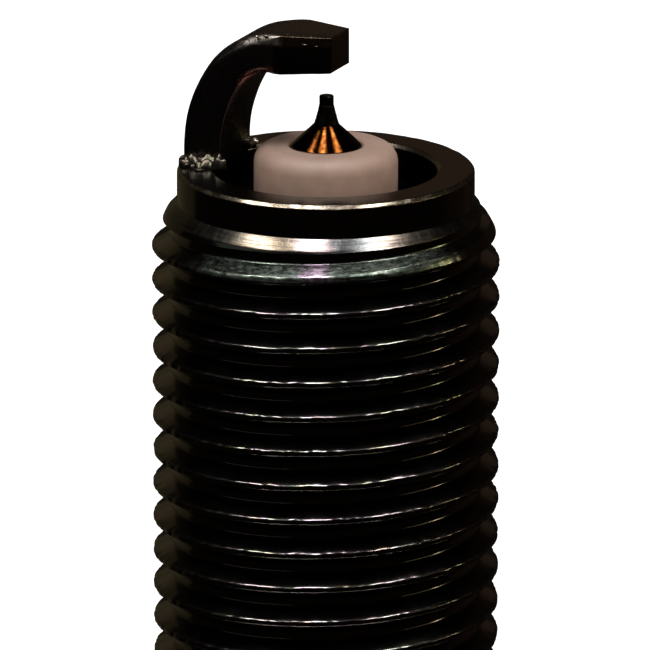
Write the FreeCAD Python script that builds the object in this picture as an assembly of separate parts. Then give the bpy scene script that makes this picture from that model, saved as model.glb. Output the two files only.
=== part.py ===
"""Spark plug, M10 x 1 thread, 19 mm reach, 16 mm hexagon, fine-wire centre electrode.

Frame: millimetres. The origin is the centre of the shell's gasket seat. +Z runs along the plug's
axis towards the firing end, and the terminal end points to -Z. The ground electrode stands on the
-X side of the shell and its free end reaches over the axis towards +X.
"""

import FreeCAD, Part
import math
import os

V = FreeCAD.Vector
AXIS = V(0, 0, 1)
ORIGIN = V(0, 0, 0)
PARTS = "parts"

# ---- shell thread -----------------------------------------------------------------------------
REACH = 19.0  # seat to end face
PITCH = 1.0
MAJOR_R = 4.936
ROOT_R = 4.387
CREST_PHASE_Z = 0.185  # height of the crest on the +X side, modulo the pitch
PILOT_R = 4.22
PILOT_LENGTH = 0.96
LEAD_STEEP_R = 4.52  # the lead-in is a 45 degree cone up to here, then eases to the full crest
LEAD_EASE_R = 4.85
LEAD_EASE_LENGTH = 0.93
LEAD_LENGTH = 1.19
NECK_R = 4.35
NECK_LENGTH = 2.6
RUNOUT_LENGTH = 0.7

# ---- shell body -------------------------------------------------------------------------------
EDGE_ROUND = 0.07
COLLAR_R = 7.3
COLLAR_LENGTH = 4.6
BUCKLE_R = 6.7
BUCKLE_LENGTH = 1.5
HEX_FLATS = 16.0
HEX_LENGTH = 7.0
HEX_CORNER_R = 9.1
HEX_CHAMFER_R = 7.9
CRIMP_R = 7.1
CRIMP_LENGTH = 1.9
LIP_R = 4.82

# ---- shell bores ------------------------------------------------------------------------------
MOUTH_R = 3.15
MOUTH_CHAMFER = 0.1
LEDGE_R = 2.75
LEDGE_TOP = 11.2
LEDGE_FLARE_TOP = 12.0
LEDGE_SEAT_Z = 8.0  # where the ledge's cone meets the middle bore
MIDDLE_BORE_R = 3.45
REAR_BORE_R = 5.6
REAR_CONE_START = -3.9
REAR_CONE_END = -4.9

# ---- insulator --------------------------------------------------------------------------------
NOSE_Z = 19.67
NOSE_R = 2.04
NOSE_ROUND = 0.48
NOSE_STRAIGHT = 4.6
LEG_ROOT_R = 2.6
SHOULDER_Z = 7.55
TRUNK_R = 3.35
FLANGE_R = 5.45
FLANGE_FRONT = -3.95
FLANGE_BACK = -9.2
POST_R = 4.65
POST_SHOULDER_Z = -9.9
UNGLAZED_R = 4.46  # the part of the post held inside the shell
GLAZE_Z = -15.1
INSULATOR_END = -35.0
RIB_COUNT = 5
RIB_PITCH = 2.25
RIB_FIRST_Z = -21.6  # start of the first groove
RIB_GROOVE_WIDTH = 1.55
RIB_GROOVE_DEPTH = 0.5
NECK_DOWN_R = 4.1
NECK_DOWN_Z = -33.0
STEM_BORE_R = 1.03
STEM_BORE_END = 6.32
CORE_BORE_R = 1.55
HOLE_ROUND = 0.08

# ---- seals between insulator and shell --------------------------------------------------------
PACKING_INNER_R = 2.8
PACKING_OUTER_R = 3.34
RING_PATH_R = 5.05
RING_WIRE_R = 0.42
LOWER_RING_Z = -10.05
UPPER_RING_Z = -13.45
TALC_INNER_R = 4.48
TALC_OUTER_R = 5.58
TALC_TOP = -10.52
TALC_BOTTOM = -12.98

# ---- conductors inside the insulator ----------------------------------------------------------
STEM_R = 1.0
CONE_BASE_Z = 19.66
CONE_TOP_Z = 20.27
CONE_TOP_R = 0.355
HEAD_R = 1.5
HEAD_Z = 5.85
HEAD_BACK = 4.6
COPPER_R = 0.6
COPPER_TIP_Z = 17.2
WIRE_R = 0.205
WIRE_ROOT_Z = 19.85
WIRE_TOP_Z = 21.10
WIRE_ROUND = 0.03
WELD_TOP_Z = 20.82
RESISTOR_TOP = 1.6
RESISTOR_BOTTOM = -8.4
STUD_TIP_Z = -10.2
UPPER_GLASS_BOTTOM = -12.4
KNURL_R = 1.3
KNURL_END = -14.2
SHANK_R = 1.42

# ---- terminal ---------------------------------------------------------------------------------
STUD_FLANGE_R = 2.9
STUD_FLANGE_THICKNESS = 0.7
STUD_PITCH = 0.7
STUD_MAJOR_R = 1.97
STUD_ROOT_R = 1.55
STUD_END = -43.7
STUD_THREAD_TOP = -36.3
NUT_CLEARANCE = 0.05
NUT_END = -44.5
NUT_BORE_R = 2.06
NUT_FLANGE_R = 3.15
NUT_FLANGE_LENGTH = 1.7
NUT_WAIST_R = 2.62
NUT_WAIST_LENGTH = 1.7
NUT_BARREL_R = 3.2
NUT_NOSE_LENGTH = 1.1
NUT_NOSE_R = 2.6

# ---- ground electrode -------------------------------------------------------------------------
STRAP_WIDTH = 2.2
STRAP_THICKNESS = 1.13
STRAP_OUTER_X = -3.93
STRAP_ROOT_TOP = 19.4  # the strap stands straight up to here
BEND_OUTER_R = 4.6  # gentle lower bend, outer face
BEND_ANGLE = 31.8  # degrees turned by the gentle bend
TIGHT_OUTER_R = 2.4  # tight upper bend, outer face
STRAP_END_X = 0.42
STRAP_END_TOP = 22.94
STRAP_END_BOTTOM = 21.92
TAPER_LENGTH = 1.5
TAPER_END_WIDTH = 1.34
STRAP_EDGE_ROUND = 0.2
BEAD_MARGIN = 0.3
BEAD_HEIGHT = 0.32
BEAD_OUTER_R = 4.18

# ---- gasket -----------------------------------------------------------------------------------
GASKET_HEIGHT = 2.0
GASKET_SHEET = 0.38
GASKET_OUTER_R = 7.0
GASKET_INNER_R = 4.76
GASKET_CURL_R = 0.41  # middle line of the inner curl
GASKET_TONGUE_R = 6.05  # how far the folded tongue reaches outwards
GASKET_LIP_R = 5.05


def line(a, b):
    return Part.makeLine(V(a[0], 0, a[1]), V(b[0], 0, b[1]))


def arc(a, middle, b):
    points = [V(p[0], 0, p[1]) for p in (a, middle, b)]
    return Part.Arc(*points).toShape()


def turned(outline):
    """The solid that a closed outline of (radius, z) points sweeps around the axis.

    An entry is a point, or ("arc", middle, end) for an arc that starts at the point before it.
    """
    edges = []
    start = here = outline[0]
    for item in outline[1:] + [start]:
        if item[0] == "arc":
            edges.append(arc(here, item[1], item[2]))
            here = item[2]
        elif math.dist(here, item) > 1e-9:
            edges.append(line(here, item))
            here = item
    face = Part.Face(Part.Wire(edges))
    solid = face.revolve(ORIGIN, AXIS, 360)
    return solid if solid.Volume > 0 else solid.reversed()


def corner(centre, radius, start_deg, end_deg):
    """An arc entry for turned(), given by its centre, radius and two angles."""

    def at(degrees):
        angle = math.radians(degrees)
        return (centre[0] + radius * math.cos(angle), centre[1] + radius * math.sin(angle))

    return ("arc", at((start_deg + end_deg) / 2), at(end_deg))


def tube(outer, inner, top, bottom):
    return turned([(inner, bottom), (outer, bottom), (outer, top), (inner, top)])


def rod(radius, top, bottom):
    return Part.makeCylinder(radius, top - bottom, V(0, 0, bottom))


def thread_ridge(pitch, major_r, root_r, low, high, crest_z):
    """A 60 degree helical ridge from below low to above high, with its crest left too tall.

    crest_z is a height of the crest's middle line on the +X side.
    """
    sunk = root_r - pitch / 10
    tall = major_r + 0.05
    crest_half = pitch / 16
    slope = math.tan(math.radians(30))
    base_half = crest_half + (major_r - sunk) * slope
    tip_half = crest_half - (tall - major_r) * slope
    first = crest_z + pitch * math.floor((low - crest_z) / pitch) - pitch
    turns = math.ceil((high - first) / pitch) + 1
    profile = Part.makePolygon(
        [
            V(sunk, 0, first - base_half),
            V(tall, 0, first - tip_half),
            V(tall, 0, first + tip_half),
            V(sunk, 0, first + base_half),
            V(sunk, 0, first - base_half),
        ]
    )
    helix = Part.makeLongHelix(pitch, turns * pitch, root_r, 0, False)
    helix.translate(V(0, 0, first))
    path = Part.Wire(helix.Edges)
    ridge = path.makePipeShell([profile], True, True)
    return ridge if ridge.isValid() else Part.makeSolid(ridge)


def with_thread(body, ridge, envelope):
    """The body with the part of the ridge that lies inside the envelope."""
    return body.fuse(ridge.common(envelope)).removeSplitter()


def hexagon(flats, low, high):
    """A hexagonal prism around the axis with two of its flats square to X."""
    corner_r = flats / math.sqrt(3)
    points = [
        V(corner_r * math.cos(math.radians(a)), corner_r * math.sin(math.radians(a)), low)
        for a in range(30, 391, 60)
    ]
    return Part.Face(Part.makePolygon(points)).extrude(V(0, 0, high - low))


def shell_outline():
    """Outer and inner contour of the shell without its thread and hexagon."""
    pilot_end = REACH - PILOT_LENGTH
    buckle_top = -COLLAR_LENGTH
    hex_top = buckle_top - BUCKLE_LENGTH
    hex_bottom = hex_top - HEX_LENGTH
    crimp_end = hex_bottom - CRIMP_LENGTH
    lip_inner_z = UPPER_RING_Z - (REAR_BORE_R - RING_PATH_R)
    crimp_round = 1.1
    return [
        (MOUTH_R + MOUTH_CHAMFER, REACH),
        (PILOT_R - EDGE_ROUND, REACH),
        corner((PILOT_R - EDGE_ROUND, REACH - EDGE_ROUND), EDGE_ROUND, 90, 0),
        (PILOT_R, pilot_end),
        (ROOT_R, pilot_end - (ROOT_R - PILOT_R)),
        (ROOT_R, NECK_LENGTH),
        (NECK_R, NECK_LENGTH - 0.15),
        (NECK_R, 0.12),
        corner((NECK_R + 0.12, 0.12), 0.12, 180, 270),
        (COLLAR_R - 0.3, 0),
        corner((COLLAR_R - 0.3, -0.3), 0.3, 90, 0),
        (COLLAR_R, buckle_top + 0.25),
        (COLLAR_R - 0.25, buckle_top),
        (BUCKLE_R, buckle_top - 0.15),
        ("arc", (BUCKLE_R + 0.16, buckle_top - BUCKLE_LENGTH / 2), (BUCKLE_R, hex_top + 0.15)),
        (CRIMP_R, hex_top),
        (CRIMP_R, crimp_end + crimp_round),
        corner((CRIMP_R - crimp_round, crimp_end + crimp_round), crimp_round, 0, -90),
        (LIP_R + 0.2, crimp_end + 0.25),
        ("arc", (LIP_R + 0.04, crimp_end + 0.34), (LIP_R, crimp_end + 0.5)),
        (LIP_R, lip_inner_z),
        (RING_PATH_R, lip_inner_z),
        corner((RING_PATH_R, UPPER_RING_Z), REAR_BORE_R - RING_PATH_R, -90, 0),
        (REAR_BORE_R, REAR_CONE_END),
        (MIDDLE_BORE_R, REAR_CONE_START),
        (MIDDLE_BORE_R, LEDGE_SEAT_Z),
        (LEDGE_R, LEDGE_SEAT_Z + MIDDLE_BORE_R - LEDGE_R),
        (LEDGE_R, LEDGE_TOP),
        (MOUTH_R, LEDGE_FLARE_TOP),
        (MOUTH_R, REACH - MOUTH_CHAMFER),
    ]


def lead_envelope():
    """What the shell thread stays inside: a steep then gentle lead-in, and a run-out at the neck."""
    top = REACH - PILOT_LENGTH
    return turned(
        [
            (ROOT_R - 0.5, top),
            (PILOT_R, top),
            (LEAD_STEEP_R, top - (LEAD_STEEP_R - PILOT_R)),
            (LEAD_EASE_R, top - LEAD_EASE_LENGTH),
            (MAJOR_R, top - LEAD_LENGTH),
            (MAJOR_R, NECK_LENGTH + RUNOUT_LENGTH),
            (NECK_R, NECK_LENGTH - 0.05),
            (ROOT_R - 0.5, NECK_LENGTH - 0.05),
        ]
    )


def metal_shell():
    hex_top = -COLLAR_LENGTH - BUCKLE_LENGTH
    hex_bottom = hex_top - HEX_LENGTH
    chamfer = (HEX_CORNER_R - HEX_CHAMFER_R) * math.tan(math.radians(30))
    inside = CRIMP_R - 0.6
    limits = turned(
        [
            (inside, hex_top),
            (HEX_CHAMFER_R, hex_top),
            (HEX_CORNER_R, hex_top - chamfer),
            (HEX_CORNER_R, hex_bottom + chamfer),
            (HEX_CHAMFER_R, hex_bottom),
            (inside, hex_bottom),
        ]
    )
    flats = hexagon(HEX_FLATS, hex_bottom, hex_top).common(limits)
    body = turned(shell_outline()).fuse(flats).removeSplitter()
    ridge = thread_ridge(PITCH, MAJOR_R, ROOT_R, NECK_LENGTH, REACH, CREST_PHASE_Z)
    return with_thread(body, ridge, lead_envelope())


def strap_blank():
    """The bent strap with a square section, before its end is tapered and its edges rounded."""
    t = STRAP_THICKNESS
    gentle = (STRAP_OUTER_X + BEND_OUTER_R, STRAP_ROOT_TOP)
    turn = math.radians(BEND_ANGLE)
    joint = (gentle[0] - BEND_OUTER_R * math.cos(turn), gentle[1] + BEND_OUTER_R * math.sin(turn))
    tight = (
        joint[0] + TIGHT_OUTER_R * math.cos(turn),
        joint[1] - TIGHT_OUTER_R * math.sin(turn),
    )
    split = 180 - BEND_ANGLE

    def at(centre, radius, degrees):
        angle = math.radians(degrees)
        return (centre[0] + radius * math.cos(angle), centre[1] + radius * math.sin(angle))

    def bend(centre, radius, start, end):
        return arc(
            at(centre, radius, start), at(centre, radius, (start + end) / 2), at(centre, radius, end)
        )

    outer_foot = (STRAP_OUTER_X, REACH)
    inner_foot = (STRAP_OUTER_X + t, REACH)
    edges = [
        line(outer_foot, at(gentle, BEND_OUTER_R, 180)),
        bend(gentle, BEND_OUTER_R, 180, split),
        bend(tight, TIGHT_OUTER_R, split, 90),
        line(at(tight, TIGHT_OUTER_R, 90), (STRAP_END_X, STRAP_END_TOP)),
        line((STRAP_END_X, STRAP_END_TOP), (STRAP_END_X, STRAP_END_BOTTOM)),
        line((STRAP_END_X, STRAP_END_BOTTOM), at(tight, TIGHT_OUTER_R - t, 90)),
        bend(tight, TIGHT_OUTER_R - t, 90, split),
        bend(gentle, BEND_OUTER_R - t, split, 180),
        line(at(gentle, BEND_OUTER_R - t, 180), inner_foot),
        line(inner_foot, outer_foot),
    ]
    face = Part.Face(Part.Wire(edges))
    face.translate(V(0, -STRAP_WIDTH / 2, 0))
    return face.extrude(V(0, STRAP_WIDTH, 0))


def taper_cutters():
    """The two wedges that narrow the strap's free end."""
    half = STRAP_WIDTH / 2
    end_half = TAPER_END_WIDTH / 2
    start = STRAP_END_X - TAPER_LENGTH
    low = STRAP_END_BOTTOM - 1
    wedges = []
    for side in (1, -1):
        points = [
            V(start, side * half, low),
            V(STRAP_END_X + 0.01, side * end_half, low),
            V(STRAP_END_X + 0.01, side * (half + 1), low),
            V(start, side * (half + 1), low),
            V(start, side * half, low),
        ]
        wedges.append(Part.Face(Part.makePolygon(points)).extrude(V(0, 0, 3)))
    return wedges


def ground_electrode():
    """The bent strap. Its long edges are rounded where it is a plain bar, and its foot is flat."""
    strap = strap_blank().cut(taper_cutters()).removeSplitter()

    def rounded(edge):
        box = edge.BoundBox
        lengthwise = box.XLength + box.ZLength > box.YLength
        foot = box.ZMax < REACH + 0.01
        tip = box.XMin > STRAP_END_X - 0.05
        return lengthwise and not foot and not tip

    edges = [e for e in strap.Edges if rounded(e)]
    return strap.makeFillet(STRAP_EDGE_ROUND, edges)


def ground_weld_bead():
    """The fillet of fused metal around the strap's foot, on the shell's end face."""
    half = STRAP_WIDTH / 2 + BEAD_MARGIN
    inner_x = STRAP_OUTER_X + STRAP_THICKNESS + 0.02
    pad = Part.makeBox(3, 2 * half, BEAD_HEIGHT, V(inner_x - 3, -half, REACH))
    tops = [e for e in pad.Edges if e.BoundBox.ZMin > REACH + BEAD_HEIGHT - 0.01]
    pad = pad.makeFillet(0.2, tops)
    ring = tube(BEAD_OUTER_R, MOUTH_R + MOUTH_CHAMFER + 0.02, REACH + 1, REACH - 1)
    foot = Part.makeBox(STRAP_THICKNESS, STRAP_WIDTH, 2, V(STRAP_OUTER_X, -STRAP_WIDTH / 2, REACH - 1))
    return pad.common(ring).cut(foot)


def insulator_outline():
    leg_end = SHOULDER_Z + TRUNK_R - LEG_ROOT_R
    flare_end = FLANGE_FRONT - (FLANGE_R - TRUNK_R) / 2
    outline = [
        (STEM_BORE_R + HOLE_ROUND, NOSE_Z),
        (NOSE_R - NOSE_ROUND, NOSE_Z),
        corner((NOSE_R - NOSE_ROUND, NOSE_Z - NOSE_ROUND), NOSE_ROUND, 90, 0),
        (NOSE_R, NOSE_Z - NOSE_STRAIGHT),
        (LEG_ROOT_R, leg_end),
        (TRUNK_R, SHOULDER_Z),
        (TRUNK_R, FLANGE_FRONT),
        (FLANGE_R, flare_end),
        (FLANGE_R, FLANGE_BACK),
        (UNGLAZED_R, POST_SHOULDER_Z),
        (UNGLAZED_R, GLAZE_Z),
        (POST_R, GLAZE_Z - 0.04),
    ]
    for i in range(RIB_COUNT):
        top = RIB_FIRST_Z - i * RIB_PITCH
        bottom = top - RIB_GROOVE_WIDTH
        middle = (POST_R - RIB_GROOVE_DEPTH, (top + bottom) / 2)
        outline += [(POST_R, top), ("arc", middle, (POST_R, bottom))]
    end_round = 0.5
    outline += [
        (POST_R, NECK_DOWN_Z),
        (NECK_DOWN_R, NECK_DOWN_Z - 0.55),
        (NECK_DOWN_R, INSULATOR_END + end_round),
        corner((NECK_DOWN_R - end_round, INSULATOR_END + end_round), end_round, 0, -90),
        (CORE_BORE_R + 0.2, INSULATOR_END),
        (CORE_BORE_R, INSULATOR_END + 0.2),
        (CORE_BORE_R, STEM_BORE_END - (CORE_BORE_R - STEM_BORE_R)),
        (STEM_BORE_R, STEM_BORE_END),
        (STEM_BORE_R, NOSE_Z - HOLE_ROUND),
        corner((STEM_BORE_R + HOLE_ROUND, NOSE_Z - HOLE_ROUND), HOLE_ROUND, 180, 90),
    ]
    return outline


def insulator():
    return turned(insulator_outline())


def seat_packing():
    """The soft steel washer squeezed between the insulator's front shoulder and the shell's ledge."""

    def on_insulator(r):
        return (r, SHOULDER_Z + TRUNK_R - r)

    def on_shell(r):
        return (r, LEDGE_SEAT_Z + MIDDLE_BORE_R - r)

    return turned(
        [
            on_insulator(PACKING_INNER_R),
            on_insulator(PACKING_OUTER_R),
            on_shell(PACKING_OUTER_R),
            on_shell(PACKING_INNER_R),
        ]
    )


def wire_ring(z):
    return Part.makeTorus(RING_PATH_R, RING_WIRE_R, V(0, 0, z))


def talc_fill():
    return tube(TALC_OUTER_R, TALC_INNER_R, TALC_TOP, TALC_BOTTOM)


def copper_core():
    tip = COPPER_TIP_Z - COPPER_R
    return turned(
        [
            (0, HEAD_BACK),
            (COPPER_R, HEAD_BACK),
            (COPPER_R, tip),
            corner((0, tip), COPPER_R, 0, 90),
        ]
    )


def center_electrode():
    """Nickel alloy sheath: a head that seats in the insulator, a long stem and a conical end."""
    head_to_stem = HEAD_Z + HEAD_R - STEM_R
    body = turned(
        [
            (0, HEAD_BACK),
            (HEAD_R, HEAD_BACK),
            (HEAD_R, HEAD_Z),
            (STEM_R, head_to_stem),
            (STEM_R, CONE_BASE_Z),
            (CONE_TOP_R, CONE_TOP_Z),
            (0, CONE_TOP_Z),
        ]
    )
    return body.cut([copper_core(), rod(WIRE_R, CONE_TOP_Z + 1, WIRE_ROOT_Z)])


def iridium_tip():
    return turned(
        [
            (0, WIRE_ROOT_Z),
            (WIRE_R, WIRE_ROOT_Z),
            (WIRE_R, WIRE_TOP_Z - WIRE_ROUND),
            corner((WIRE_R - WIRE_ROUND, WIRE_TOP_Z - WIRE_ROUND), WIRE_ROUND, 0, 90),
            (0, WIRE_TOP_Z),
        ]
    )


def tip_weld():
    """The laser-fused collar that joins the fine wire to the cone, with a hollowed flank."""
    hollow = (0.272, CONE_TOP_Z + 0.27)
    return turned(
        [
            (WIRE_R, CONE_TOP_Z),
            (CONE_TOP_R, CONE_TOP_Z),
            ("arc", hollow, (WIRE_R + 0.012, WELD_TOP_Z)),
            (WIRE_R, WELD_TOP_Z),
        ]
    )


def upper_glass_seal():
    return rod(CORE_BORE_R, RESISTOR_BOTTOM, UPPER_GLASS_BOTTOM).cut(
        rod(KNURL_R, STUD_TIP_Z, UPPER_GLASS_BOTTOM - 1)
    )


def terminal_stud():
    """Steel stud: a tip held in the glass, a shank, a flange on the insulator and an M4 end."""
    flange_bottom = INSULATOR_END - STUD_FLANGE_THICKNESS
    chamfer = STUD_ROOT_R - 1.25
    body = turned(
        [
            (0, STUD_TIP_Z),
            (KNURL_R, STUD_TIP_Z),
            (KNURL_R, KNURL_END),
            (SHANK_R, KNURL_END - 0.12),
            (SHANK_R, INSULATOR_END),
            (STUD_FLANGE_R - 0.15, INSULATOR_END),
            (STUD_FLANGE_R, INSULATOR_END - 0.15),
            (STUD_FLANGE_R, flange_bottom),
            (STUD_ROOT_R, flange_bottom),
            (STUD_ROOT_R, STUD_END + chamfer),
            (1.25, STUD_END),
            (0, STUD_END),
        ]
    )
    inside = STUD_ROOT_R - 0.4
    envelope = turned(
        [
            (inside, STUD_THREAD_TOP),
            (STUD_ROOT_R, STUD_THREAD_TOP),
            (STUD_MAJOR_R, STUD_THREAD_TOP - 0.3),
            (STUD_MAJOR_R, STUD_END + STUD_MAJOR_R - 1.25),
            (1.25, STUD_END),
            (inside, STUD_END),
        ]
    )
    ridge = thread_ridge(STUD_PITCH, STUD_MAJOR_R, STUD_ROOT_R, STUD_END, STUD_THREAD_TOP, 0)
    return with_thread(body, ridge, envelope)


def terminal_nut():
    """The removable barrel nut that a plug cap's clip snaps over."""
    top = INSULATOR_END - STUD_FLANGE_THICKNESS - NUT_CLEARANCE
    flange_end = top - NUT_FLANGE_LENGTH
    waist_end = flange_end - NUT_WAIST_LENGTH
    nose_start = NUT_END + NUT_NOSE_LENGTH
    mouth = 0.3
    return turned(
        [
            (NUT_BORE_R + mouth, top),
            (NUT_FLANGE_R - 0.15, top),
            (NUT_FLANGE_R, top - 0.15),
            (NUT_FLANGE_R, flange_end + 0.2),
            (NUT_FLANGE_R - 0.2, flange_end),
            (NUT_WAIST_R, flange_end - 0.15),
            (NUT_WAIST_R, waist_end + 0.3),
            (NUT_BARREL_R - 0.15, waist_end),
            (NUT_BARREL_R, waist_end - 0.15),
            (NUT_BARREL_R, nose_start),
            (NUT_NOSE_R + 0.12, NUT_END + 0.1),
            (NUT_NOSE_R, NUT_END),
            (NUT_BORE_R + mouth, NUT_END),
            (NUT_BORE_R, NUT_END + mouth),
            (NUT_BORE_R, top - mouth),
        ]
    )


def crush_gasket():
    """The captive washer, folded from sheet: an outer fold, and an inner curl with a tongue."""
    s = GASKET_SHEET
    h = GASKET_HEIGHT
    fold_r = h / 2
    fold_x = GASKET_OUTER_R - fold_r
    curl_x = GASKET_INNER_R + GASKET_CURL_R + s / 2
    curl_z = s / 2 + GASKET_CURL_R
    curl_out = GASKET_CURL_R + s / 2
    curl_in = GASKET_CURL_R - s / 2
    tongue_z = curl_z + GASKET_CURL_R - s / 2
    return turned(
        [
            (GASKET_LIP_R, h),
            (fold_x, h),
            corner((fold_x, fold_r), fold_r, 90, -90),
            (curl_x, 0),
            corner((curl_x, curl_z), curl_out, -90, -270),
            (GASKET_TONGUE_R, tongue_z + s),
            (GASKET_TONGUE_R, tongue_z),
            (curl_x, tongue_z),
            corner((curl_x, curl_z), curl_in, 90, 270),
            (fold_x, s),
            corner((fold_x, fold_r), fold_r - s, -90, 90),
            (GASKET_LIP_R, h - s),
        ]
    )


def model():
    """Every separate piece of the plug, by name."""
    return {
        "metal_shell": metal_shell(),
        "ground_electrode": ground_electrode(),
        "ground_weld_bead": ground_weld_bead(),
        "crush_gasket": crush_gasket(),
        "insulator": insulator(),
        "seat_packing": seat_packing(),
        "lower_wire_ring": wire_ring(LOWER_RING_Z),
        "talc_fill": talc_fill(),
        "upper_wire_ring": wire_ring(UPPER_RING_Z),
        "center_electrode": center_electrode(),
        "electrode_copper_core": copper_core(),
        "iridium_tip": iridium_tip(),
        "tip_weld": tip_weld(),
        "lower_glass_seal": rod(CORE_BORE_R, HEAD_BACK, RESISTOR_TOP),
        "resistor": rod(CORE_BORE_R, RESISTOR_TOP, RESISTOR_BOTTOM),
        "upper_glass_seal": upper_glass_seal(),
        "terminal_stud": terminal_stud(),
        "terminal_nut": terminal_nut(),
    }


os.makedirs(PARTS, exist_ok=True)
for name, shape in model().items():
    solids = shape.Solids
    whole = solids[0] if len(solids) == 1 else Part.Compound(solids)
    whole.exportStep(os.path.join(PARTS, name + ".step"))
    print(f"{name}: {len(solids)} solid, {whole.Volume:.3f} mm3, valid {whole.isValid()}")
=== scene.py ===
import math

import bmesh
import bpy
import numpy as np
from mathutils import Matrix, Vector, noise


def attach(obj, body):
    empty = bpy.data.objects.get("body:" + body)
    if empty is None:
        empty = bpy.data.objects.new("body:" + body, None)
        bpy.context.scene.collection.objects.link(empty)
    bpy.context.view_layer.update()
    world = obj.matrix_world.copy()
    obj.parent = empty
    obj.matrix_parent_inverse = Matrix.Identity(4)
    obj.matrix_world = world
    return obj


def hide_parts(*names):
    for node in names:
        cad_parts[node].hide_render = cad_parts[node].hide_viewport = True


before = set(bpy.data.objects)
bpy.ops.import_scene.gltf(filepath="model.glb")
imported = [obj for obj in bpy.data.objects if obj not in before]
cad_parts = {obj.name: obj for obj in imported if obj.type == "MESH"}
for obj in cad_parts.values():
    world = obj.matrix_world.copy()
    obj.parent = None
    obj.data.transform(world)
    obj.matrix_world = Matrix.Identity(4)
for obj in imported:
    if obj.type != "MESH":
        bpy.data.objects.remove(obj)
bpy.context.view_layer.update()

# Dimensions are in millimetres in the row frame, and become metres when a mesh is made.
MM = 0.001
AROUND = 360
THETA = np.arange(AROUND) * 2 * math.pi / AROUND
FILLET_STEPS = 5

# ---- shell ----
REACH = 19.0
PITCH = 1.0
MAJOR_R = 4.936
ROOT_R = 4.387
CREST_PHASE_Z = 0.185
CREST_HALF = PITCH / 16
FLANK_SLOPE = math.tan(math.radians(30))
ROOT_HALF = CREST_HALF + (MAJOR_R - ROOT_R) * FLANK_SLOPE
PILOT_R = 4.22
RIM_ARC_R = 4.2
PILOT_END_Z = 18.04
LEAD_POINTS = ((18.04, 4.22), (17.74, 4.52), (17.11, 4.85), (16.85, MAJOR_R))
RUNOUT_POINTS = ((3.3, MAJOR_R), (2.6, ROOT_R))
THREAD_END_Z = 2.6
NECK_R = 4.35
MOUTH_R = 3.15

HEX_TOP_Z, HEX_BOTTOM_Z = -6.1, -13.1
HEX_FLAT_R = 8.0
HEX_CORNER_R = 9.1
HEX_CHAMFER_R = 7.9

# ---- ground electrode and its weld ----
STRAP_OUTER_X = -3.93
STRAP_THICKNESS = 1.13
STRAP_HALF = 1.1
GENTLE_R = 4.6
GENTLE_TURN = math.radians(31.8)
TIGHT_R = 2.4
STRAIGHT_TOP = 19.4
END_X, END_TOP, END_BOTTOM = 0.42, 22.94, 21.92
TAPER_LENGTH, TAPER_END_HALF = 1.5, 0.67
# the radius of the strap's long corners, by x
CORNER_X = (-3.2, -2.3, -1.5, -0.95)
CORNER_R = (0.08, 0.34, 0.30, 0.008)
FLASH_ACROSS = 22
FLASH_LIMIT_R = 4.17

# ---- insulator, electrode, stud and nut ----
NOSE_R, NOSE_Z = 2.04, 19.67
ELECTRODE_R = 1.0
CONE_BASE_Z = 19.66
CONE_TOP_R, CONE_TOP_Z = 0.355, 20.27
WIRE_R, WIRE_TOP_Z = 0.205, 21.10
POST_R = 4.65
GROOVES, GROOVE_R, GROOVE_STEP, GROOVE_LENGTH, GROOVE_TOP_Z = 5, 4.15, 2.25, 1.55, -21.6
POST_END_Z = -35.0
STUD_R, FLANGE_R, FLANGE_END_Z = 1.42, 2.9, -35.7
STUD_PITCH, STUD_MAJOR_R, STUD_ROOT_R = 0.7, 1.97, 1.56
STUD_THREAD_Z, STUD_END_Z, STUD_END_R = -36.3, -43.7, 1.25
NUT_TOP_Z, NUT_END_Z = -35.75, -44.5
NUT_R, NUT_BORE_R = 3.2, 2.06
NUT_TRAVEL = 9.0

# ---- stage ----
# Lengths in metres, but the lens and the floor's height in millimetres. Angles in degrees.
CAMERA_AZIMUTH = 23.3
CAMERA_ELEVATION = 16.01
CAMERA_DISTANCE = 0.259
CAMERA_LENS = 504.65
CAMERA_AIM_SIDE, CAMERA_AIM_Z = -0.000024, 0.01435
FIRING_END_Z = 0.018
FLOOR_Z = NUT_END_Z - NUT_TRAVEL - 1.0
FLOOR_HALF = 6.0


# ---- profiles ----
def unit(v):
    return v / np.linalg.norm(v)


def rounded(points, hold=0.03, closed=False):
    """A polyline of (radius, z, fillet) points with its corners rounded and held by extra points."""
    p = [np.array(q[:2], float) for q in points]
    r = [q[2] if len(q) > 2 else 0.0 for q in points]
    n = len(p)
    out = []
    for i in range(n):
        inner = closed or 0 < i < n - 1
        if not inner or r[i] <= 0:
            out.append(p[i])
            continue
        a, b = unit(p[i - 1] - p[i]), unit(p[(i + 1) % n] - p[i])
        cos_between = float(np.clip(a @ b, -1, 1))
        half = math.acos(cos_between) / 2
        reach = r[i] / math.tan(half)
        room = min(np.linalg.norm(p[i - 1] - p[i]), np.linalg.norm(p[(i + 1) % n] - p[i]))
        reach = min(reach, room * 0.48)
        radius = reach * math.tan(half)
        centre = p[i] + unit(a + b) * (radius / math.sin(half))
        start, end = p[i] + a * reach, p[i] + b * reach
        extra = min(hold, reach * 0.4)
        if room > 2 * reach + 2 * extra:
            out.append(start + a * extra)
        u, v = start - centre, end - centre
        turn = math.acos(float(np.clip(unit(u) @ unit(v), -1, 1)))
        for k in range(FILLET_STEPS + 1):
            t = k / FILLET_STEPS
            w = (math.sin((1 - t) * turn) * u + math.sin(t * turn) * v) / max(math.sin(turn), 1e-9)
            out.append(centre + w)
        if room > 2 * reach + 2 * extra:
            out.append(end + b * extra)
    return np.array(out)


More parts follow.
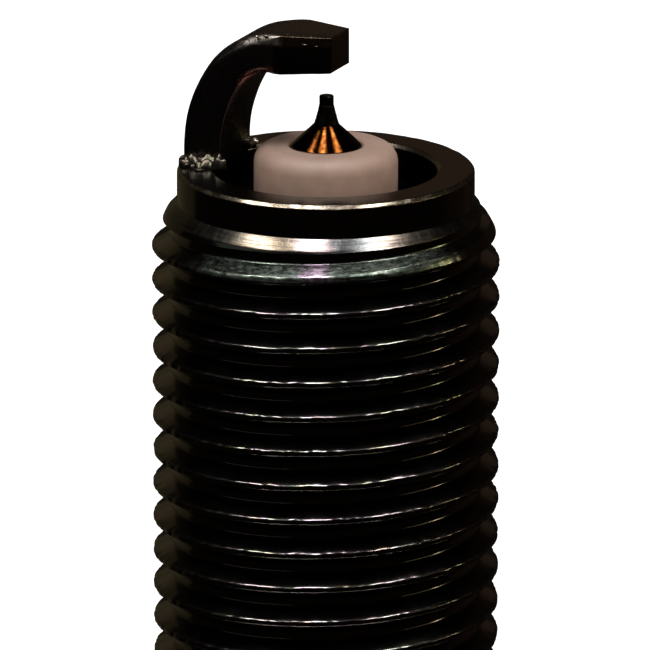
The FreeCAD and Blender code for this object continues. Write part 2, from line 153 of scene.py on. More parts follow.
def mesh_object(name, points, faces, material, body, nodes=(), merge=1e-4):
    """A smooth-shaded object that rides on a body and stands for the given CAD nodes."""
    mesh = bpy.data.meshes.new(name)
    mesh.from_pydata([tuple(v) for v in np.asarray(points) * MM], [], faces)
    bm = bmesh.new()
    bm.from_mesh(mesh)
    if merge:
        bmesh.ops.remove_doubles(bm, verts=bm.verts, dist=merge * MM)
    bmesh.ops.dissolve_degenerate(bm, edges=bm.edges, dist=merge * MM)
    loose = [v for v in bm.verts if not v.link_faces]
    bmesh.ops.delete(bm, geom=loose, context="VERTS")
    bmesh.ops.recalc_face_normals(bm, faces=bm.faces)
    bm.to_mesh(mesh)
    bm.free()
    for polygon in mesh.polygons:
        polygon.use_smooth = True
    obj = bpy.data.objects.new(name, mesh)
    bpy.context.scene.collection.objects.link(obj)
    mesh.materials.append(material)
    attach(obj, body)
    if nodes:
        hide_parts(*nodes)
    return obj


def flat_rows(profile, around=AROUND):
    """The radii and heights of a turned surface, one row for each point of its profile."""
    profile = np.asarray(profile)
    return np.repeat(profile[:, :1], around, 1), np.repeat(profile[:, 1:2], around, 1)


def ring_points(rows_r, rows_z):
    """Points around the axis from rows of radii and heights."""
    around = rows_r.shape[1]
    theta = np.arange(around) * 2 * math.pi / around
    return np.stack([rows_r * np.cos(theta), rows_r * np.sin(theta), rows_z], -1).reshape(-1, 3)


def row_mesh(rows_r, rows_z, closed=True):
    """Points and faces of a surface around the axis. closed joins the last row to the first."""
    count, around = rows_r.shape
    faces = []
    for j in range(count if closed else count - 1):
        k = (j + 1) % count
        for i in range(around):
            n = (i + 1) % around
            faces.append((j * around + i, j * around + n, k * around + n, k * around + i))
    return ring_points(rows_r, rows_z), faces


def helix_mesh(rows_r, rows_z, per_pitch):
    """Points and faces between rows that climb one pitch per turn."""
    count, around = rows_r.shape
    faces = []
    for j in range(count - 1):
        for i in range(around):
            n, climb = (i + 1, 0) if i + 1 < around else (0, per_pitch)
            if j + 1 + climb >= count:
                continue
            a, b = j * around + i, (j + climb) * around + n
            faces.append((a, b, b + around, a + around))
    return ring_points(rows_r, rows_z), faces


def joined(*parts):
    """Several (points, faces) pairs as one."""
    points, faces = [], []
    offset = 0
    for more_points, more_faces in parts:
        points.append(more_points)
        faces += [tuple(i + offset for i in face) for face in more_faces]
        offset += len(more_points)
    return np.concatenate(points), faces


def tube(rings):
    """Points and faces of a tube through rings of points, closed at both ends."""
    count, around = rings.shape[:2]
    faces = []
    for j in range(count - 1):
        for i in range(around):
            n = (i + 1) % around
            faces.append((j * around + i, j * around + n, (j + 1) * around + n, (j + 1) * around + i))
    faces.append(tuple(range(around))[::-1])
    faces.append(tuple((count - 1) * around + i for i in range(around)))
    return rings.reshape(-1, 3), faces


def lathe(name, profile, material, body, nodes=(), around=128, closed=True, shake=None, shift=(0, 0)):
    """A turned piece. shake(theta, r, z) may add a small change to the radii."""
    rows_r, rows_z = flat_rows(profile, around)
    if shake:
        theta = np.arange(around) * 2 * math.pi / around
        rows_r = np.maximum(rows_r + shake(theta[None, :], rows_r, rows_z) * (rows_r > 0.01), 0)
    points, faces = row_mesh(rows_r, rows_z, closed)
    points[:, 0] += shift[0]
    points[:, 1] += shift[1]
    return mesh_object(name, points, faces, material, body, nodes)


# ---- small irregularities ----
def field(x, y, z, seed):
    """Smooth noise from -1 to 1 at each point of three equal arrays."""
    flat = np.stack([np.broadcast_to(v, np.broadcast(x, y, z).shape).ravel() for v in (x, y, z)], -1)
    values = [noise.noise(Vector((p[0] + seed * 17.3, p[1] - seed * 5.1, p[2] + seed))) for p in flat]
    return np.array(values).reshape(np.broadcast(x, y, z).shape)


# ---- materials ----
class Nodes:
    """Short calls for building one material's node tree. Positions are in millimetres."""

    def __init__(self, name):
        self.material = bpy.data.materials.new(name)
        self.material.use_nodes = True
        self.tree = self.material.node_tree
        self.bsdf = self.tree.nodes["Principled BSDF"]

    def add(self, kind, **settings):
        node = self.tree.nodes.new(kind)
        for key, value in settings.items():
            setattr(node, key, value)
        return node

    def join(self, a, b):
        self.tree.links.new(a, b)

    def put(self, socket, value):
        if hasattr(value, "is_output"):
            self.join(value, socket)
        else:
            socket.default_value = value

    def place(self):
        """The position on the object."""
        node = self.add("ShaderNodeVectorMath", operation="MULTIPLY")
        self.join(self.add("ShaderNodeTexCoord").outputs["Object"], node.inputs[0])
        node.inputs[1].default_value = (1 / MM, 1 / MM, 1 / MM)
        return node.outputs[0]

    def math(self, operation, a, b=0.0, c=0.0):
        node = self.add("ShaderNodeMath", operation=operation)
        for socket, value in zip(node.inputs, (a, b, c)):
            self.put(socket, value)
        return node.outputs[0]

    def product(self, first, *others):
        for other in others:
            first = self.math("MULTIPLY", first, other)
        return first

    def total(self, first, *others):
        for other in others:
            first = self.math("ADD", first, other)
        return first

    def radius(self, a, b):
        return self.math("SQRT", self.total(self.product(a, a), self.product(b, b)))

    def distance(self, vector, point):
        node = self.add("ShaderNodeVectorMath", operation="DISTANCE")
        self.join(vector, node.inputs[0])
        node.inputs[1].default_value = point
        return node.outputs["Value"]

    def split(self, vector):
        node = self.add("ShaderNodeSeparateXYZ")
        self.join(vector, node.inputs[0])
        return node.outputs

    def combine(self, x, y, z):
        node = self.add("ShaderNodeCombineXYZ")
        for socket, value in zip(node.inputs, (x, y, z)):
            self.put(socket, value)
        return node.outputs[0]

    def noise(self, vector, scale, detail=3.0, rough=0.55, distortion=0.0):
        node = self.add("ShaderNodeTexNoise")
        self.join(vector, node.inputs["Vector"])
        node.inputs["Scale"].default_value = scale
        node.inputs["Detail"].default_value = detail
        node.inputs["Roughness"].default_value = rough
        node.inputs["Distortion"].default_value = distortion
        return node.outputs["Fac"]

    def turned(self, position, stretch, across, detail, rough, distortion=0.0):
        """Noise drawn out around the plug's axis: stretch in radians, across in millimetres."""
        x, y, z = self.split(position)
        around = self.product(self.math("ARCTAN2", y, x), 1.0 / stretch)
        outward = self.product(self.radius(x, y), 1.0 / across)
        place = self.combine(around, outward, self.product(z, 1.0 / across))
        return self.noise(place, 1.0, detail, rough, distortion)

    def ramp(self, fac, stops):
        node = self.add("ShaderNodeValToRGB")
        while len(node.color_ramp.elements) < len(stops):
            node.color_ramp.elements.new(0.5)
        for element, (position, colour) in zip(node.color_ramp.elements, stops):
            element.position = position
            element.color = (*colour, 1)
        self.join(fac, node.inputs[0])
        return node.outputs[0]

    def mix(self, fac, a, b, kind="RGBA"):
        node = self.add("ShaderNodeMix", data_type=kind)
        used = [s for s in node.inputs if s.enabled]
        self.put(used[0], fac)
        for socket, value in zip(used[1:], (a, b)):
            if not hasattr(value, "is_output") and kind == "RGBA":
                value = (*value, 1)
            self.put(socket, value)
        return [s for s in node.outputs if s.enabled][0]

    def mix_value(self, fac, a, b):
        return self.mix(fac, a, b, kind="FLOAT")

    def range(self, value, low, high, to_low, to_high, smooth=False):
        node = self.add("ShaderNodeMapRange", interpolation_type="SMOOTHSTEP" if smooth else "LINEAR")
        self.join(value, node.inputs["Value"])
        for key, v in zip(("From Min", "From Max", "To Min", "To Max"), (low, high, to_low, to_high)):
            node.inputs[key].default_value = v
        return node.outputs[0]

    def above(self, value, edge, smooth=True):
        """0 below a soft edge, 1 above it. edge is its start and end."""
        return self.range(value, *edge, 0, 1, smooth)

    def below(self, value, edge, smooth=True):
        return self.range(value, *edge, 1, 0, smooth)

    def between(self, value, edges, smooth=True):
        """1 between two soft edges and 0 outside them."""
        return self.product(self.above(value, edges[0], smooth), self.below(value, edges[1], smooth))

    def bump(self, height, strength, distance, before=None):
        node = self.add("ShaderNodeBump")
        node.inputs["Strength"].default_value = strength
        node.inputs["Distance"].default_value = distance * MM
        self.join(height, node.inputs["Height"])
        if before is not None:
            self.join(before, node.inputs["Normal"])
        return node.outputs[0]

    def finish(self, **sockets):
        for key, value in sockets.items():
            self.put(self.bsdf.inputs[key.replace("_", " ")], value)
        return self.material


# Zones of the shell's finish and of the shade, sheen, glint and reflections painted on its side facing the
# camera.
# Each edge is soft, and says where it starts and ends: heights and radii in millimetres, angles round the
# axis in radians.
CHAMFER_ZONE = ((17.68, 17.76), (18.02, 18.08))
FIRST_FLANK_ZONE = ((17.13, 17.19), (17.55, 17.65))
SCUFF_AND_SHEEN_SECTOR = ((-2.25, -1.85), (-0.5, -0.2))
PAINTED_VIOLET_GLINT_SECTOR = ((-1.35, -1.27), (-1.20, -1.12))
FACE_EDGE = (18.985, 18.995)
RIM_EDGE = (18.86, 18.90)
FACE_PAINTED_SHADE_SECTOR = (-2.1, -1.6)
CREST_EDGE = (4.84, 4.90)
PAINTED_REFLECTION_SECTOR = (-2.1, -0.1)

PLATING_TINTS = (
    (0.30, (0.078, 0.068, 0.048)),
    (0.42, (0.062, 0.070, 0.062)),
    (0.50, (0.070, 0.066, 0.068)),
    (0.58, (0.072, 0.060, 0.070)),
    (0.70, (0.074, 0.066, 0.052)),
)
# The lead-in flank's colours: partly real scuffing and partly painted sheen, lighter grey-green only on the
# side facing the camera.
SCUFF_AND_SHEEN_TINTS = (
    (0.28, (0.060, 0.055, 0.045)),
    (0.40, (0.062, 0.088, 0.075)),
    (0.50, (0.105, 0.122, 0.110)),
    (0.60, (0.070, 0.094, 0.080)),
    (0.75, (0.060, 0.060, 0.055)),
)
# Painted reflections on the lead-in chamfer: warm, pinkish-white, grey-blue and warm-white in turn round
# the side facing the camera, standing for the lamps seen in it.
CHAMFER_PAINTED_REFLECTIONS = (
    (0.10, (0.060, 0.060, 0.052)),
    (0.22, (0.110, 0.094, 0.074)),
    (0.33, (0.120, 0.100, 0.074)),
    (0.38, (0.122, 0.100, 0.098)),
    (0.47, (0.126, 0.106, 0.106)),
    (0.52, (0.074, 0.082, 0.088)),
    (0.60, (0.082, 0.090, 0.096)),
    (0.66, (0.118, 0.102, 0.092)),
    (0.80, (0.104, 0.092, 0.080)),
    (0.92, (0.050, 0.054, 0.054)),
)


def shell_metal():
    """Dark glossy plating with thin-film tints and turning marks, duller and scuffed on the lead-in, with
    painted reflections, sheen and a violet glint on the lead-in and painted shade on part of the end face.
    """
    n = Nodes("shell_plating")
    at = n.place()
    x, y, z = n.split(at)
    marks = n.turned(at, 1.2, 0.018, 4.0, 0.65)
    brushed = n.turned(at, 0.03, 0.5, 4.0, 0.7)
    lines = n.turned(at, 0.30, 0.045, 3.0, 0.65)
    patches = n.turned(at, 0.09, 0.30, 4.0, 0.7, 0.4)
    scuffs = n.turned(at, 0.05, 0.10, 5.0, 0.75, 0.3)
    speck = n.noise(at, 14.0, 3.0, 0.7)

    azimuth = n.math("ARCTAN2", y, x)
    ragged = n.total(azimuth, n.product(n.math("SUBTRACT", patches, 0.5), 0.35))
    from_crest = n.math("SUBTRACT", z, n.product(azimuth, PITCH / (2 * math.pi)))
    first_flank = n.between(from_crest, FIRST_FLANK_ZONE, smooth=False)
    # dull: the scuffed lead-in flank, kept to the side facing the camera, where its colour is partly
    # painted sheen
    dull = n.product(first_flank, n.between(ragged, SCUFF_AND_SHEEN_SECTOR))
    chamfer = n.between(z, CHAMFER_ZONE)
    face = n.above(z, FACE_EDGE, smooth=False)
    rim = n.product(n.above(z, RIM_EDGE, smooth=False), n.math("SUBTRACT", 1.0, face))

    # scuffed colour of the lead-in flank, with painted sheen that makes it lighter grey-green than the
    # plating
    scuffed = n.ramp(patches, SCUFF_AND_SHEEN_TINTS)
    # painted glint: a violet patch on the lead-in flank facing the camera
    scuffed = n.mix(n.product(n.between(ragged, PAINTED_VIOLET_GLINT_SECTOR), 0.85), scuffed, (0.27, 0.20, 0.27))
    base = n.mix(dull, n.ramp(n.turned(at, 0.28, 0.45, 2.0, 0.5, 0.4), PLATING_TINTS), scuffed)
    # painted reflections: the chamfer's colour changes by angle round the side facing the camera
    base = n.mix(chamfer, base, n.ramp(n.above(ragged, PAINTED_REFLECTION_SECTOR, smooth=False), CHAMFER_PAINTED_REFLECTIONS))
    streaks = n.product(n.total(dull, chamfer), n.range(lines, 0.42, 0.62, 0, 0.65))
    base = n.mix(streaks, base, (0.015, 0.015, 0.014))
    bright_face = n.mix(speck, (0.068, 0.062, 0.040), (0.082, 0.074, 0.052))
    # painted shade: the end face turns dark green-grey on the side towards the strap's foot, to the
    # camera's left
    base = n.mix(face, base, n.mix(n.above(azimuth, FACE_PAINTED_SHADE_SECTOR), (0.026, 0.029, 0.024), bright_face))
    base = n.mix(rim, base, (0.115, 0.100, 0.078))

    rough = n.range(n.noise(at, 0.9, 3.0, 0.6), 0.3, 0.7, 0.10, 0.16)
    rough = n.mix_value(dull, rough, n.range(scuffs, 0.35, 0.65, 0.16, 0.38))
    rough = n.mix_value(chamfer, rough, n.range(brushed, 0.30, 0.70, 0.18, 0.29))
    rough = n.mix_value(face, rough, n.range(speck, 0.3, 0.7, 0.14, 0.24))
    rough = n.mix_value(rim, rough, n.range(speck, 0.3, 0.7, 0.18, 0.30))
    rough = n.total(rough, n.product(n.above(n.radius(x, y), CREST_EDGE, smooth=False), 0.04))

    height = n.total(n.product(marks, 0.6), n.product(speck, 0.5), n.product(dull, scuffs))
    height = n.total(height, n.product(chamfer, n.total(lines, n.product(brushed, 0.2))))
    return n.finish(Base_Color=base, Metallic=1.0, Roughness=rough, Normal=n.bump(height, 0.35, 0.004))


# Zones of the strap's finish and of the highlights painted on it, in millimetres.
BEND_X = STRAP_OUTER_X + GENTLE_R - math.cos(GENTLE_TURN) * (GENTLE_R - TIGHT_R)
BEND_Z = STRAIGHT_TOP + math.sin(GENTLE_TURN) * (GENTLE_R - TIGHT_R)
BEND_ZONE = ((-2.4, -1.9), (-1.1, -0.8))
OUTER_CORNER, INNER_CORNER = (2.08, 2.2), (1.42, 1.56)
NEAR_SIDE = (-0.98, -0.84)
END_EDGE = (-2.0, -1.0)
CUT_EDGE_Z = (22.78, 22.84)


def strap_metal():
    """Dark nickel alloy: painted highlights in flecks on the bend's near corners, a lighter brown painted
    at the end, black on the sheared cut.
    """
    n = Nodes("strap_alloy")
    at = n.place()
    x, y, z = n.split(at)
    cloud = n.noise(at, 1.6, 4.0, 0.6)
    grain = n.noise(at, 22.0, 3.0, 0.7)
    end = n.above(x, END_EDGE)

    from_bend = n.radius(n.total(x, -BEND_X), n.total(z, -BEND_Z))
    flecks = n.range(n.noise(at, 7.0, 4.0, 0.7), 0.38, 0.62, 0.1, 1)
    # painted highlights, broken into flecks, on the bend's corners on the side facing the camera
    painted_highlight_flecks = n.product(n.between(x, BEND_ZONE), n.below(y, NEAR_SIDE), flecks)
    outside = n.product(painted_highlight_flecks, n.above(from_bend, OUTER_CORNER))
    inside = n.product(painted_highlight_flecks, n.below(from_bend, INNER_CORNER))

    taper = (STRAP_HALF - TAPER_END_HALF) / TAPER_LENGTH
    cut_y = n.math("MULTIPLY_ADD", x, taper, -TAPER_END_HALF - taper * END_X)
    torn = n.total(z, n.product(n.noise(at, 5.0, 4.0, 0.7), 0.30))
    cut = n.product(n.below(n.math("SUBTRACT", y, cut_y), (0.0, 0.05)), end)
    cut = n.product(cut, n.range(torn, *CUT_EDGE_Z, 0.9, 0.0))

    leg = n.ramp(
        cloud,
        ((0.3, (0.040, 0.040, 0.038)), (0.5, (0.050, 0.044, 0.046)), (0.7, (0.046, 0.034, 0.036))),
    )
    # painted light: the end is a lighter brown than the leg, standing for the light on its top face
    tip = n.ramp(cloud, ((0.3, (0.060, 0.045, 0.030)), (0.7, (0.082, 0.064, 0.045))))
    # outside: a grey painted highlight on the bend's outer corner
    base = n.mix(outside, n.mix(end, leg, tip), (0.40, 0.37, 0.34))
    # inside: a pink painted highlight along the bend's inner corner
    base = n.mix(inside, base, (0.75, 0.34, 0.34))
    base = n.mix(cut, base, (0.012, 0.011, 0.010))
    rough = n.mix_value(end, n.range(grain, 0.3, 0.7, 0.20, 0.34), n.range(grain, 0.3, 0.7, 0.24, 0.34))
    rough = n.total(rough, n.product(outside, 0.06))
    normal = n.bump(grain, 0.35, 0.006, n.bump(cloud, 0.3, 0.03))
    return n.finish(Base_Color=base, Metallic=1.0, Roughness=rough, Normal=normal)


def weld_metal():
    """Fused metal with green, gold and violet heat tints."""
    n = Nodes("weld_metal")
    ripple = n.noise(n.place(), 6.0, 3.0, 0.6)
    base = n.ramp(
        ripple,
        ((0.32, (0.028, 0.034, 0.024)), (0.5, (0.046, 0.041, 0.030)), (0.66, (0.074, 0.050, 0.058))),
    )
    rough = n.range(ripple, 0.3, 0.7, 0.28, 0.42)
    return n.finish(Base_Color=base, Metallic=1.0, Roughness=rough, Normal=n.bump(ripple, 0.4, 0.02))


# where the strap's shadow is painted on the nose, and where a real dark speck sits
STRAP_SHADOW_AT = (-1.66, -0.02, 19.67)
SPECK_AT = (-1.228, -1.65, 19.53)


def alumina():
    """Fired alumina: pinkish beige and slightly translucent at the nose, white glaze on the post, with the
    strap's shadow painted on the nose's top.
    """
    n = Nodes("alumina")
    at = n.place()
    z = n.split(at)[2]
    nose = n.above(z, (2, 12), smooth=False)
    cloud = n.noise(at, 1.4, 4.0, 0.6)
    fired = n.ramp(cloud, ((0.3, (0.385, 0.240, 0.174)), (0.7, (0.465, 0.300, 0.226))))
    glazed = n.ramp(cloud, ((0.3, (0.83, 0.81, 0.77)), (0.7, (0.87, 0.86, 0.83))))
    specks = n.above(n.noise(at, 2.2, 2.0, 0.5), (0.74, 0.80), smooth=False)
    base = n.mix(nose, glazed, fired)
    base = n.mix(n.product(specks, 0.35), base, (0.22, 0.14, 0.11))
    # painted shadow: the nose's top darkens on the strap's side, where the strap shades it
    painted_strap_shadow = n.product(n.range(n.distance(at, STRAP_SHADOW_AT), 0.25, 1.15, 0.72, 0, True), nose)
    base = n.mix(painted_strap_shadow, base, (0.10, 0.055, 0.035))
    speck = n.range(n.distance(at, SPECK_AT), 0.03, 0.10, 0.6, 0, True)
    base = n.mix(speck, base, (0.10, 0.06, 0.04))
    return n.finish(
        Base_Color=base,
        Roughness=n.mix_value(nose, 0.12, 0.64),
        Normal=n.bump(n.noise(at, 30.0, 2.0, 0.6), 0.15, 0.003),
        Subsurface_Weight=0.25,
        Subsurface_Radius=(1.0, 0.5, 0.35),
        Subsurface_Scale=0.4 * MM,
    )


def turned_metal(name, dark, light, rough, groove=0.03, depth=0.004, cloud_scale=1.5):
    """Metal with turning marks around the plug's axis. rough is the lowest and the highest roughness."""
    n = Nodes(name)
    at = n.place()
    marks = n.turned(at, 1.5, groove, 3.0, 0.6)
    base = n.ramp(n.noise(at, cloud_scale, 3.0, 0.6), ((0.35, dark), (0.65, light)))
    roughness = n.range(marks, 0.3, 0.7, *rough)
    return n.finish(Base_Color=base, Metallic=1.0, Roughness=roughness, Normal=n.bump(marks, 0.5, depth))


def grainy(name, dark, light, rough, grain_size=0.1, metallic=0.0):
    """A grainy surface for the sealed inner pieces."""
    n = Nodes(name)
    grain = n.noise(n.place(), 1.0 / grain_size, 4.0, 0.65)
    base = n.ramp(grain, ((0.35, dark), (0.65, light)))
    roughness = n.range(grain, 0.3, 0.7, rough, rough + 0.15)
    normal = n.bump(grain, 0.3, grain_size * 0.1)
    return n.finish(Base_Color=base, Metallic=metallic, Roughness=roughness, Normal=normal)


SHELL_METAL = shell_metal()
STRAP_METAL = strap_metal()
WELD_METAL = weld_metal()
ALUMINA = alumina()
CONE_METAL = turned_metal(
    "electrode_alloy", (0.011, 0.0014, 0.0001), (0.042, 0.0160, 0.0030), (0.07, 0.12),
    depth=0.005, cloud_scale=7.0,
)
FUSED_METAL = turned_metal("laser_weld", (0.009, 0.008, 0.007), (0.016, 0.014, 0.012), (0.25, 0.4))
WIRE_METAL = turned_metal(
    "iridium", (0.010, 0.010, 0.010), (0.018, 0.017, 0.016), (0.25, 0.36), depth=0.002
)
GASKET_METAL = turned_metal(
    "gasket_steel", (0.50, 0.49, 0.47), (0.62, 0.61, 0.58), (0.22, 0.34), groove=0.05
)
STUD_METAL = turned_metal("stud_steel", (0.28, 0.27, 0.245), (0.38, 0.365, 0.335), (0.22, 0.36))
NUT_METAL = turned_metal(
    "nut_plating", (0.30, 0.29, 0.265), (0.40, 0.385, 0.355), (0.16, 0.28), depth=0.003
)
# painted glint: near-white metal for the one weld drop that shows as a white glint
PAINTED_GLINT_METAL = turned_metal(
    "spatter_painted_glint", (0.85, 0.83, 0.80), (0.95, 0.93, 0.90), (0.24, 0.34), groove=0.05
)


# ---- shell mesh ----
def envelope(z):
    """The radius the thread stays inside at each height."""
    points = [(100.0, PILOT_R), *LEAD_POINTS, *RUNOUT_POINTS, (-100.0, ROOT_R)]
    heights = np.array([p[0] for p in points])[::-1]
    radii = np.array([p[1] for p in points])[::-1]
    return np.interp(z, heights, radii)


def sharp_ridge(s):
    """Radius of the sharp 60 degree profile at distance s along the axis from a crest's middle."""
    flank = MAJOR_R - (np.abs(s) - CREST_HALF) / FLANK_SLOPE
    return np.clip(flank, ROOT_R, MAJOR_R)


def ridge_rows():
    """Distances from the crest's middle, and the radius of the rounded profile there."""
    crest_round, root_round = 0.08, 0.11
    outline = rounded([
        (ROOT_R, -0.5), (ROOT_R, -ROOT_HALF, root_round), (MAJOR_R, -CREST_HALF, crest_round),
        (MAJOR_R, CREST_HALF, crest_round), (ROOT_R, ROOT_HALF, root_round), (ROOT_R, 0.5),
    ], hold=0.02)
    s, r = [], []
    for a, b in zip(outline[:-1], outline[1:]):
        on_crest = abs(a[1] + b[1]) / 2 < CREST_HALF
        steps = max(1, math.ceil(np.linalg.norm(b - a) / (0.014 if on_crest else 0.12)))
        for k in range(steps):
            p = a + (b - a) * k / steps
            s.append(p[1])
            r.append(p[0])
    return np.array(s), np.array(r)


def crossing(crest_z, side):
    """Where the flank on one side of each crest meets the envelope, as a distance from the crest."""
    low = np.zeros_like(crest_z)
    high = np.full_like(crest_z, ROOT_HALF)
    for _ in range(40):
        middle = (low + high) / 2
        above = sharp_ridge(middle) > envelope(crest_z + side * middle)
        low = np.where(above, middle, low)
        high = np.where(above, high, middle)
    return np.maximum((low + high) / 2, CREST_HALF)


def thread_rows():
    """Rows along the helix from above the pilot to below the run-out, clamped to that span."""
    s, r = ridge_rows()
    relief = r - sharp_ridge(s)
    first = math.floor(THREAD_END_Z - CREST_PHASE_Z) - 2
    last = math.ceil(PILOT_END_Z - CREST_PHASE_Z) + 1
    rows_r, rows_z = [], []
    for k in range(first, last + 1):
        crest = CREST_PHASE_Z + k + THETA / (2 * math.pi) * PITCH
        upper, lower = crossing(crest, 1), crossing(crest, -1)
        nick, sway = crest_wear(k)
        whole = np.clip((envelope(crest) - 4.80) / 0.1, 0, 1)
        for sj, dj in zip(s, relief):
            limit = upper if sj > 0 else lower
            if abs(sj) <= CREST_HALF:
                moved = sj / CREST_HALF * limit
            elif abs(sj) <= ROOT_HALF:
                share = (ROOT_HALF - abs(sj)) / (ROOT_HALF - CREST_HALF)
                moved = np.sign(sj) * (ROOT_HALF - share * (ROOT_HALF - limit))
            else:
                moved = np.full(AROUND, sj)
            z = crest + moved
            weight = math.exp(-((sj / 0.11) ** 2))
            radius = np.minimum(sharp_ridge(moved), envelope(z))
            shown = np.clip((radius if dj < 0 else envelope(z)) * 10 - ROOT_R * 10, 0, 1)
            radius = radius + dj * shown - nick * weight * whole
            z = z + sway * weight * whole
            inside = (z < PILOT_END_Z) & (z > THREAD_END_Z)
            z = np.clip(z, THREAD_END_Z, PILOT_END_Z)
            radius = np.where(inside, radius, envelope(z))
            rows_r.append(radius)
            rows_z.append(z)
    return np.array(rows_r), np.array(rows_z), len(s)


def crest_wear(k):
    """Small wear on one turn of the crest: its depth, and its shift along the axis."""
    arc = THETA * MAJOR_R
    fine = field(arc * 3.1, k * 7.7, 0.0, 3)
    coarse = field(arc * 0.9, k * 3.3, 4.0, 8)
    worn = np.clip(fine + 0.1, 0, 1) * 0.055 + np.clip(coarse - 0.1, 0, 1) * 0.035
    sharp = np.clip(field(arc * 7.0, k * 5.9, 2.0, 5) - 0.38, 0, 1) * 0.14
    sway = field(arc * 2.3, k * 4.1, 6.0, 9) * 0.016 + field(arc * 6.1, k * 2.9, 6.0, 4) * 0.008
    return worn + sharp, sway


def hexagon_rows():
    """Rows of the hexagon with 30 degree chamfers, from its upper edge to its lower edge."""
    chamfer = (HEX_CORNER_R - HEX_CHAMFER_R) * math.tan(math.radians(30))
    ends = np.linspace(0, chamfer + 0.06, 26)
    middle = np.linspace(chamfer + 0.2, HEX_TOP_Z - HEX_BOTTOM_Z - chamfer - 0.2, 12)
    depth = np.concatenate([ends, middle, (HEX_TOP_Z - HEX_BOTTOM_Z) - ends[::-1]])
    from_flat = (THETA + math.pi / 6) % (math.pi / 3) - math.pi / 6
    flat = HEX_FLAT_R / np.cos(from_flat)
    rows_r, rows_z = [], []
    for d in depth:
        edge = min(d, HEX_TOP_Z - HEX_BOTTOM_Z - d)
        cone = HEX_CHAMFER_R + edge / math.tan(math.radians(30))
        limit = np.minimum(cone, HEX_CORNER_R)
        k = 0.06
        h = np.clip(k - np.abs(flat - limit), 0, None) / k
        rows_r.append(np.minimum(flat, limit) - h * h * k / 4)
        rows_z.append(np.full(AROUND, HEX_TOP_Z - d))
    return np.array(rows_r), np.array(rows_z)


def even(profile, longest=0.6):
    """The profile with long straight runs divided, so that shading stays true."""
    out = [profile[0]]
    for a, b in zip(profile[:-1], profile[1:]):
        steps = max(1, int(np.linalg.norm(b - a) / longest))
        out += [a + (b - a) * k / steps for k in range(1, steps + 1)]
    return np.array(out)


def sharpen(obj, radius, height):
    """Keep the shading crisp along the ring of edges at one radius and height."""
    on_ring = [
        abs(math.hypot(v.co.x, v.co.y) - radius * MM) < 5e-6 and abs(v.co.z - height * MM) < 2e-6
        for v in obj.data.vertices
    ]
    for edge in obj.data.edges:
        edge.use_edge_sharp = all(on_ring[i] for i in edge.vertices)


def worn_rim(rows_r, rows_z):
    """The pilot's rows with small scars and dents along the edge of its end face."""
    arc = THETA[None, :] * RIM_ARC_R
    near_edge = np.exp(-(((rows_r - PILOT_R + 0.04) / 0.08) ** 2) - ((rows_z - REACH + 0.04) / 0.08) ** 2)
    scar = field(arc * 2.2, rows_z * 3.0, rows_r * 3.0, 11)
    dents = np.clip(field(arc * 2.4, rows_z * 0.0, 1.0, 12) - 0.3, 0, 1)
    rows_r = rows_r - near_edge * (0.035 * scar + 0.10 * dents)
    rows_z = rows_z - near_edge * 0.03 * np.clip(scar, 0, 1)
    return rows_r, rows_z


def make_shell():
    top = rounded([
        (MOUTH_R, 12.0), (MOUTH_R, REACH - 0.1, 0.04), (MOUTH_R + 0.1, REACH, 0.04),
        (PILOT_R - 0.10, REACH, 0.05), (PILOT_R, REACH - 0.10, 0.05), (PILOT_R, PILOT_END_Z),
    ])
    below = rounded([
        (ROOT_R, THREAD_END_Z), (NECK_R, THREAD_END_Z - 0.15, 0.05), (NECK_R, 0.0, 0.12),
        (7.3, 0.0, 0.28), (7.3, -4.6, 0.2), (6.7, -4.78, 0.12), (6.84, -5.35, 0.5),
        (6.7, -5.92, 0.12), (6.9, HEX_TOP_Z, 0.05), (HEX_CHAMFER_R, HEX_TOP_Z),
    ])
    under = rounded([
        (HEX_CHAMFER_R, HEX_BOTTOM_Z), (7.1, HEX_BOTTOM_Z, 0.06), (7.1, -15.0, 1.1),
        (5.3, -14.9, 0.3), (4.82, -14.55, 0.12), (4.82, -14.0, 0.05), (5.05, -14.0),
        (5.6, -13.45), (5.6, -4.9), (3.45, -3.9), (3.45, 8.0), (2.75, 8.7), (2.75, 11.2),
        (MOUTH_R, 12.0),
    ])
    pilot_r, pilot_z = worn_rim(*flat_rows(even(top)))
    thread_r, thread_z, per_pitch = thread_rows()
    lower_r, lower_z = zip(flat_rows(even(below)), hexagon_rows(), flat_rows(even(under)))
    points, faces = joined(
        row_mesh(pilot_r, pilot_z, closed=False),
        helix_mesh(thread_r, thread_z, per_pitch),
        row_mesh(np.concatenate(lower_r), np.concatenate(lower_z), closed=False),
    )
    shell = mesh_object(
        "shell_body", points, faces, SHELL_METAL, "plug", ["metal_shell"], merge=2e-3
    )
    sharpen(shell, PILOT_R, PILOT_END_Z)
    return shell


